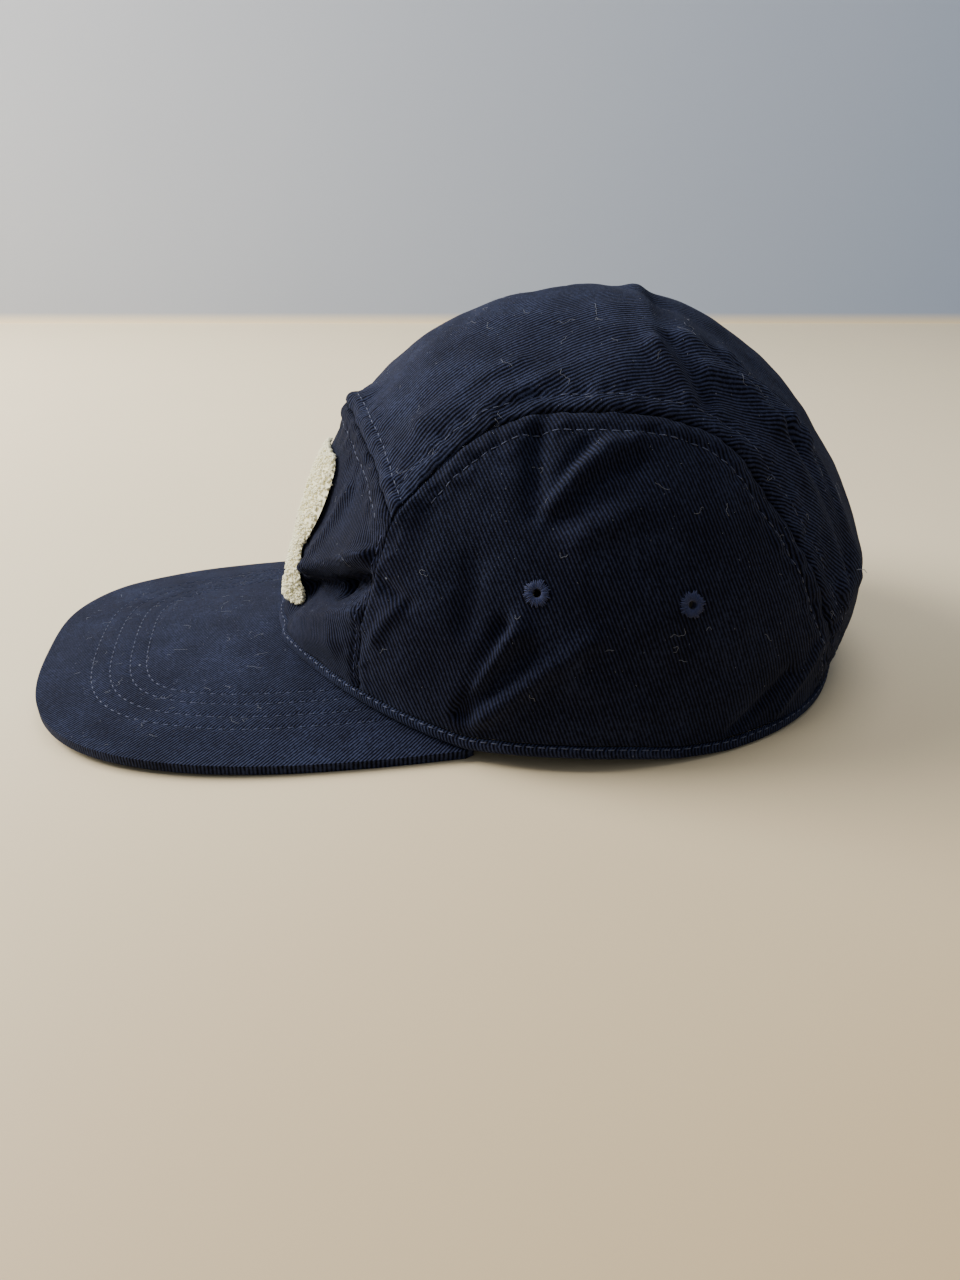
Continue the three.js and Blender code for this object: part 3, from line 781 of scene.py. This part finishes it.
for sideName, towardAt, sign in (("left", sideToward, 1), ("right", rightToward, -1)):
    panel = makePanel(sideName + "PanelCloth", "side_panel_" + sideName, panels["sideGrid"], towardAt,
                      sideWeave, clothSide)
    centres = [makeEyelet(sideName + "Eyelet" + place.capitalize(), f"eyelet_{sideName}_{place}",
                          direction(sign * azimuth, elevation)[None])
               for place, azimuth, elevation in eyelets["places"]]
    pierce(panel, centres)


# Rounded binding round the lower edge
binding = {"columns": 420, "rows": 8, "swell": 1.1, "roundness": 4, "sunk": 0.5, "middle": 5}


def bindingPlace(around, up):
    azimuth = band["end"] * (2 * around - 1)
    swell = binding["swell"] * (1 - (2 * up - 1) ** binding["roundness"])
    swell -= binding["swell"] * binding["sunk"]
    return wallPoint(azimuth, edgeHeight(azimuth) + up * band["height"], -band["proud"] - swell)


def makeBinding():
    bm = clothGrid(binding["columns"], binding["rows"], bindingPlace, arcWeave)
    turnOutward(bm, Vector((0, crown["centreY"], binding["middle"])) * mm)
    wall(ready("bindingCloth", bm, clothBand, ["edge_band"]), band["thickness"])


makeBinding()

# Peak, with rows of stitches at set distances inside its rim
peakRows = {
    "insets": (16.2, 21.8, 27.9, 32.9), "dip": 0.25, "width": 0.8, "columns": 250, "rows": 66,
    "rimSteps": 900, "inside": 80, "sag": 0.3, "sagScale": 0.04, "below": (0, -60, -400),
    "rounding": 1.1, "roundingSteps": 3, "shortest": 1e-6,
}


def eased(turn):
    return 0.5 - 0.5 * np.cos(turn)


def rimPlan(around):
    turn = np.pi * around
    power = 2 / peak["squareness"]
    x = -peak["halfWidth"] * np.sign(np.cos(turn)) * np.abs(np.cos(turn)) ** power
    reach = peak["endReach"] + (peak["tipReach"] - peak["endReach"]) * np.sin(turn) ** power
    return np.stack([x, crown["centreY"] - reach], -1)


rimLine = rimPlan(eased(np.linspace(0, np.pi, peakRows["rimSteps"])))
rimSteps = np.linalg.norm(np.diff(rimLine, axis=0), axis=1)
rimLine = rimLine[np.concatenate([[True], rimSteps > peakRows["shortest"]])]


def rimRow(inset):
    heading = unit(np.gradient(rimLine, axis=0))
    inward = np.stack([-heading[:, 1], heading[:, 0]], -1)
    inside = np.array([0, crown["centreY"] - peakRows["inside"]])
    inward *= np.sign(((inside - rimLine) * inward).sum(1, keepdims=True))
    return rimLine + inward * inset


rimRows = [rimRow(inset) for inset in peakRows["insets"]]
flatTree = kdtree.KDTree(sum(len(row) for row in rimRows))
for index, point in enumerate(np.vstack(rimRows)):
    flatTree.insert((point[0], point[1], 0), index)
flatTree.balance()


def peakTop(plan):
    rise = peakUnderside(plan[:, 0], plan[:, 1]) + peak["thickness"]
    row = np.array([flatTree.find((x, y, 0))[2] for x, y in plan])
    sag = np.array([noise.noise(Vector((x, y, 0)) * peakRows["sagScale"]) for x, y in plan])
    return rise - peakRows["dip"] * hump(row, peakRows["width"]) + peakRows["sag"] * sag


def peakPlace(around, share):
    azimuth = peak["end"] * (2 * around - 1)
    root = wallPoint(azimuth, edgeHeight(azimuth), band["thickness"])[:, :2]
    plan = mix(root, rimPlan(eased(np.pi * around)), share)
    return np.column_stack([plan, peakTop(plan)])


def makePeak():
    bm = clothGrid(peakRows["columns"], peakRows["rows"], peakPlace, planWeave)
    turnOutward(bm, Vector(peakRows["below"]) * mm)
    piece = wall(ready("peakCloth", bm, clothPeak, ["peak"]), peak["thickness"])
    roundedEdges(piece, peakRows["rounding"], peakRows["roundingSteps"])


makePeak()

# Stitches: short rounded threads, laid in rows
stitch = {
    "first": 0.3, "unevenness": (0.86, 1.08), "raised": 0.12, "end": 0.1, "flatness": 0.85,
    "crown": (2.5, 0.75, 0.2), "band": (2.3, 0.9, 0.19), "peak": (2.4, 0.9, 0.2),
    "strap": (2.3, 0.9, 0.24),
    "bandReach": (0.004, 0.996, 700), "bandHeight": 0.86, "bandTilt": 25,
    "strapReach": (0.02, 0.98, 160), "strapHeights": (0.1, 0.9),
    "peakSteps": 200, "peakClear": 0.6,
}


# A row of stitches along a line on the cloth; kind names their length, space and half thickness
def stitchAlong(bm, kind, points, normals):
    length, space, thick = stitch[kind]
    run = np.concatenate([[0], np.linalg.norm(np.diff(points, axis=0), axis=1).cumsum()])
    for start in np.arange(stitch["first"], run[-1] - length, length + space):
        reach = length * random.uniform(*stitch["unevenness"])
        ends = [np.array([np.interp(start + step, run, points[:, axis]) for axis in range(3)])
                for step in (0, reach)]
        up = Vector([np.interp(start + reach / 2, run, normals[:, axis]) for axis in range(3)]).normalized()
        line = Vector(ends[1] - ends[0])
        side = up.cross(line).normalized()
        lay = Matrix((line.normalized(), side, up)).transposed().to_4x4()
        lay.translation = (Vector(ends[0]) + Vector(ends[1])) / 2 + up * stitch["raised"]
        shape = Matrix.Diagonal((line.length / 2 + stitch["end"], thick, thick * stitch["flatness"], 1))
        bmesh.ops.create_icosphere(bm, subdivisions=1, radius=1, matrix=Matrix.Scale(mm, 4) @ lay @ shape)


def makeCrownStitches():
    bm = bmesh.new()
    for name, line in stitchLines.items():
        if "corner" not in name:
            stitchAlong(bm, "crown", *clothPoint(line))
    ready("crownStitches", bm, threadPale)
    bm = bmesh.new()
    for name in ("corner", "cornerRight"):
        stitchAlong(bm, "crown", *clothPoint(stitchLines[name]))
    ready("cornerStitches", bm, threadNavy)


def makeBandStitches():
    around = np.linspace(*stitch["bandReach"])
    points = bindingPlace(around, np.full_like(around, stitch["bandHeight"]))
    outward = (points - crownMiddle) * [1, 1, 0]
    bm = bmesh.new()
    stitchAlong(bm, "band", points, unit(outward + [0, 0, stitch["bandTilt"]]))
    ready("bandStitches", bm, threadPale)


def makePeakStitches():
    bm = bmesh.new()
    azimuths = np.linspace(-peak["end"], peak["end"], stitch["peakSteps"])
    root = wallPoint(azimuths, edgeHeight(azimuths), 0)[:, :2]
    for row in rimRows:
        bearing = np.degrees(np.arctan2(row[:, 0], crown["centreY"] - row[:, 1]))
        wallAway = np.interp(bearing, azimuths, np.hypot(root[:, 0], crown["centreY"] - root[:, 1]))
        away = np.hypot(row[:, 0], crown["centreY"] - row[:, 1])
        line = row[(away > wallAway + stitch["peakClear"]) & (np.abs(bearing) < peak["end"])]
        points = np.column_stack([line, peakTop(line)])
        stitchAlong(bm, "peak", points, np.tile([0.0, 0.0, 1.0], (len(points), 1)))
    ready("peakStitches", bm, threadFinish("peakThread", "161c34", "434c6c"))


random.seed(4)
makeCrownStitches()
makeBandStitches()
makePeakStitches()


# Cream looped patch, a plain waisted shape
patch = {
    "elevation": [11.5, 13, 16.5, 20, 23, 26.5, 31, 35.5, 38.5, 40],
    "halfAngle": [5, 7, 8.5, 8, 6, 10, 12.5, 12.5, 11, 8],
    "rim": 0.9, "middle": 2.3, "fullness": 4, "columns": 30, "rows": 44,
    "tufts": 2100, "tuftSize": 0.62, "tuftSpread": (0.75, 1.25), "tuftShape": (1, 0.7, 1.2),
    "tuftTilt": 0.7, "tuftHeight": (-0.1, 0.45),
}


def patchToward(across, up):
    halfAngle = alongRows(patch["halfAngle"], up)
    return direction(halfAngle * (1 - 2 * across), alongRows(patch["elevation"], up))


def patchPlace(across, up):
    toward = patchToward(across, up)
    power = patch["fullness"]
    fullness = (1 - np.abs(2 * up - 1) ** power) * (1 - np.abs(2 * across - 1) ** power)
    height = patch["rim"] + (patch["middle"] - patch["rim"]) * fullness
    return outerPoint(toward) + crownNormal(toward) * height[..., None]


def chenilleFinish():
    finish = Finish("creamChenille")
    place = finish.place()
    loops = finish.cloudy(place, 1300.0, 3.0, 0.7)
    tone = finish.cloudy(place, 300.0, 2.0)
    colour = finish.blend(loops, shade("e6dfae"), shade("fffce2"))
    colour = finish.blend(tone * 0.3, colour, shade("f4edc0"))
    return finish.surface(Base_Color=colour, Roughness=0.95, Normal=finish.bump(0.8, 0.4 * mm, loops),
                          Sheen_Weight=0.4, Specular_IOR_Level=0.1)


def makePatch():
    bm = clothGrid(patch["columns"], patch["rows"], patchPlace, arcWeave)
    turnOutward(bm, crownCentre)
    random.seed(11)
    spots = np.array([[random.random(), random.random()] for _ in range(patch["tufts"])])
    points = patchPlace(spots[:, 0], spots[:, 1])
    normals = crownNormal(patchToward(spots[:, 0], spots[:, 1]))
    for point, normal in zip(points, normals):
        size = patch["tuftSize"] * random.uniform(*patch["tuftSpread"])
        lean = [random.uniform(-patch["tuftTilt"], patch["tuftTilt"]) for _ in range(3)]
        lay = (Vector(normal) + Vector(lean)).to_track_quat("Z", "Y").to_matrix().to_4x4()
        lay.translation = Vector(point + normal * random.uniform(*patch["tuftHeight"]))
        shape = Matrix.Diagonal((*(size * part for part in patch["tuftShape"]), 1))
        bmesh.ops.create_icosphere(bm, subdivisions=1, radius=1, matrix=Matrix.Scale(mm, 4) @ lay @ shape)
    ready("creamPatch", bm, chenilleFinish(), ["patch"])


makePatch()


# Strap across the back opening
strap = {"width": 18.0, "thickness": 1.6, "foot": 2.5, "end": 149.0, "columns": 90, "rows": 18,
         "middle": 10, "rounding": 0.4, "roundingSteps": 2}


def strapPlace(around, up):
    azimuth = strap["end"] + (360 - 2 * strap["end"]) * around
    azimuth = np.where(azimuth > 180, azimuth - 360, azimuth)
    depth = band["thickness"] - band["proud"] + band["gap"]
    place = wallPoint(azimuth, strap["foot"], depth)
    place[:, 2] = strap["foot"] + up * strap["width"]
    return place


def makeStrap():
    bm = clothGrid(strap["columns"], strap["rows"], strapPlace, arcWeave)
    turnOutward(bm, Vector((0, crown["centreY"], strap["middle"])) * mm)
    piece = wall(ready("strapCloth", bm, clothBand, ["back_strap"]), strap["thickness"])
    roundedEdges(piece, strap["rounding"], strap["roundingSteps"])
    bm = bmesh.new()
    around = np.linspace(*stitch["strapReach"])
    for up in stitch["strapHeights"]:
        points = strapPlace(around, np.full_like(around, up))
        stitchAlong(bm, "strap", points, unit((points - crownMiddle) * [1, 1, 0]))
    ready("strapStitches", bm, threadPale)


makeStrap()


def slideFinish():
    finish = Finish("darkSlide")
    place = finish.place()
    rub = finish.cloudy(place, 500.0, 4.0)
    colour = finish.blend(rub, shade("2c2f36"), shade("4a4e58"))
    return finish.surface(Base_Color=colour, Roughness=rub * 0.2 + 0.35, Metallic=0.9,
                          Normal=finish.bump(0.3, 0.1 * mm, rub))


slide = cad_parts["strap_slide"]
slide.data.materials.clear()
slide.data.materials.append(slideFinish())

# Lint: short pale fibres and crumbs lying on the cloth
lint = {
    "fibres": 170, "specks": 700, "thick": 0.036, "raised": 0.1, "eachOnPeak": 3,
    "peakX": (-65, 65), "peakY": (-128, -62), "azimuth": (-150, 150), "elevation": (10, 80),
    "steepest": 75, "peakStep": 1.0, "crownStep": 0.6,
    "fibreSteps": (5, 14), "fibreStride": (0.2, 0.55), "fibreCurl": 1.1,
    "speckStride": (0.15, 0.45), "speckCurl": 0.5,
    "looseThread": (141.0, 23.0), "looseRadius": 3.0,
    "loosePath": ((-0.3, 0), (1.2, 0.3), (2.4, 0.2), (3.4, -0.8)),
}


def lintFinish():
    finish = Finish("paleLint")
    place = finish.place()
    colour = finish.blend(finish.cloudy(place, 400.0), shade("363b49"), shade("a9adb7"))
    return finish.surface(Base_Color=colour, Roughness=0.9)


def lintPath(onPeak, steps, stride, curl):
    if onPeak:
        spot = np.array([random.uniform(*lint["peakX"]), random.uniform(*lint["peakY"])])
    else:
        spot = np.array([random.uniform(*lint["azimuth"]), random.uniform(*lint["elevation"])])
    heading = random.uniform(0, 2 * math.pi)
    path = [spot]
    for _ in range(steps):
        heading += random.uniform(-curl, curl)
        path.append(path[-1] + np.array([math.cos(heading), math.sin(heading)]) * stride)
    path = np.array(path)
    if onPeak:
        return np.column_stack([path, peakTop(path) + lint["raised"]])
    narrowing = math.cos(math.radians(min(spot[1], lint["steepest"])))
    turned = path[0, 0] + (path[:, 0] - path[0, 0]) / narrowing
    places, normals = clothPoint(direction(turned, path[:, 1]))
    return places + normals * lint["raised"]


def addSpline(curve, places):
    spline = curve.splines.new("POLY")
    spline.points.add(len(places) - 1)
    for point, place in zip(spline.points, places):
        point.co = (*(place * mm), 1)
    return spline


def makeLint():
    random.seed(21)
    curve = bpy.data.curves.new("lintFibres", "CURVE")
    curve.dimensions = "3D"
    curve.bevel_depth = lint["thick"] * mm
    curve.bevel_resolution = 0
    for index in range(lint["fibres"] + lint["specks"]):
        onPeak = index % lint["eachOnPeak"] == 0
        step = lint["peakStep"] if onPeak else lint["crownStep"]
        if index < lint["fibres"]:
            steps = random.randint(*lint["fibreSteps"])
            stride = random.uniform(*lint["fibreStride"]) * step
            addSpline(curve, lintPath(onPeak, steps, stride, lint["fibreCurl"]))
        else:
            stride = random.uniform(*lint["speckStride"]) * step
            addSpline(curve, lintPath(onPeak, 1, stride, lint["speckCurl"]))
    azimuth, elevation = lint["looseThread"]
    tail, outward = (values[0] for values in clothPoint(direction(azimuth, elevation)[None]))
    loose = addSpline(curve, [tail + outward * reach + np.array([0, 0, rise])
                              for reach, rise in lint["loosePath"]])
    for point in loose.points:
        point.radius = lint["looseRadius"]
    piece = bpy.data.objects.new("lintFibres", curve)
    scene.collection.objects.link(piece)
    curve.materials.append(lintFinish())
    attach(piece, "root")


makeLint()

# Pale table, a plain backdrop behind it, and soft daylight from the left
# The shaded tones are painted shade: the table darker and warmer towards its near side, the backdrop bluer
# along its width
studio = {
    "table": shade("eddcb8"), "shadedTable": shade("c9b085"),
    "backdrop": shade("a8aaad"), "shadedBackdrop": shade("9aa9c2"),
    "backdropPlace": (-0.86, 0.17, 1.4), "halfSize": 3, "tableRoughness": 0.55, "backdropRoughness": 0.9,
    "tableTurns": (0, 0.02, 0.24), "backdropTurns": (1, -0.5, 0.8), "bounceHeight": 0.012,
    "world": (0.80, 0.86, 0.96, 1.0), "worldStrength": 0.36, "daylight": (1.0, 0.98, 0.96),
}


# Plain paint with painted shade: it turns to a second, shaded tone from one place to another along an axis
def plainFinish(name, colour, roughness, shaded, turns, foot=None):
    finish = Finish(name)
    place = finish.place()
    axis, start, end = turns
    grain = finish.cloudy(place, 6.0) * 0.5 + finish.cloudy(place, 900.0) * 0.5
    darker = [part * 0.9 for part in colour[:3]] + [1.0]
    painted = finish.blend(grain, darker, colour)
    painted = finish.blend(finish.parts(place)[axis].between(start, end), painted, shaded)
    # Painted bounce light: the backdrop's lowest few millimetres take the table's colour
    if foot:
        bounce = finish.parts(place)[2].between(0.0, studio["bounceHeight"])
        painted = finish.blend(bounce, foot, painted)
    return finish.surface(Base_Color=painted, Roughness=roughness)


def stagePlane(name, place, material):
    bm = bmesh.new()
    bmesh.ops.create_grid(bm, x_segments=2, y_segments=2, size=studio["halfSize"], matrix=place)
    mesh = bpy.data.meshes.new(name)
    bm.to_mesh(mesh)
    bm.free()
    mesh.materials.append(material)
    plane = bpy.data.objects.new(name, mesh)
    scene.collection.objects.link(plane)


def makeStage():
    stagePlane("table", Matrix.Identity(4),
               plainFinish("tableTop", studio["table"], studio["tableRoughness"],
                           studio["shadedTable"], studio["tableTurns"]))
    turn = Matrix.Rotation(math.radians(photoView["azimuth"]), 4, "Z")
    upright = Matrix.Rotation(math.pi / 2, 4, "X")
    stagePlane("backdrop", Matrix.Translation(studio["backdropPlace"]) @ turn @ upright,
               plainFinish("backdropPaint", studio["backdrop"], studio["backdropRoughness"],
                           studio["shadedBackdrop"], studio["backdropTurns"], studio["table"]))


def areaLight(name, place, target, size, power):
    light = bpy.data.objects.new(name, bpy.data.lights.new(name, "AREA"))
    light.data.size = size
    light.data.energy = power
    light.data.color = studio["daylight"]
    light.location = place
    light.rotation_euler = (Vector(target) - Vector(place)).to_track_quat("-Z", "Y").to_euler()
    scene.collection.objects.link(light)


makeStage()
world = bpy.data.worlds.new("daylight")
scene.world = world
world.use_nodes = True
background = world.node_tree.nodes["Background"]
background.inputs["Color"].default_value = studio["world"]
background.inputs["Strength"].default_value = studio["worldStrength"]
areaLight("window", (-0.48, -0.98, 0.7), (-0.1, -0.1, 0.05), 0.8, 38)
areaLight("ceiling", (-0.2, 0.1, 1.4), (-0.1, 0, 0), 0.9, 9)
print("stage and lights made")
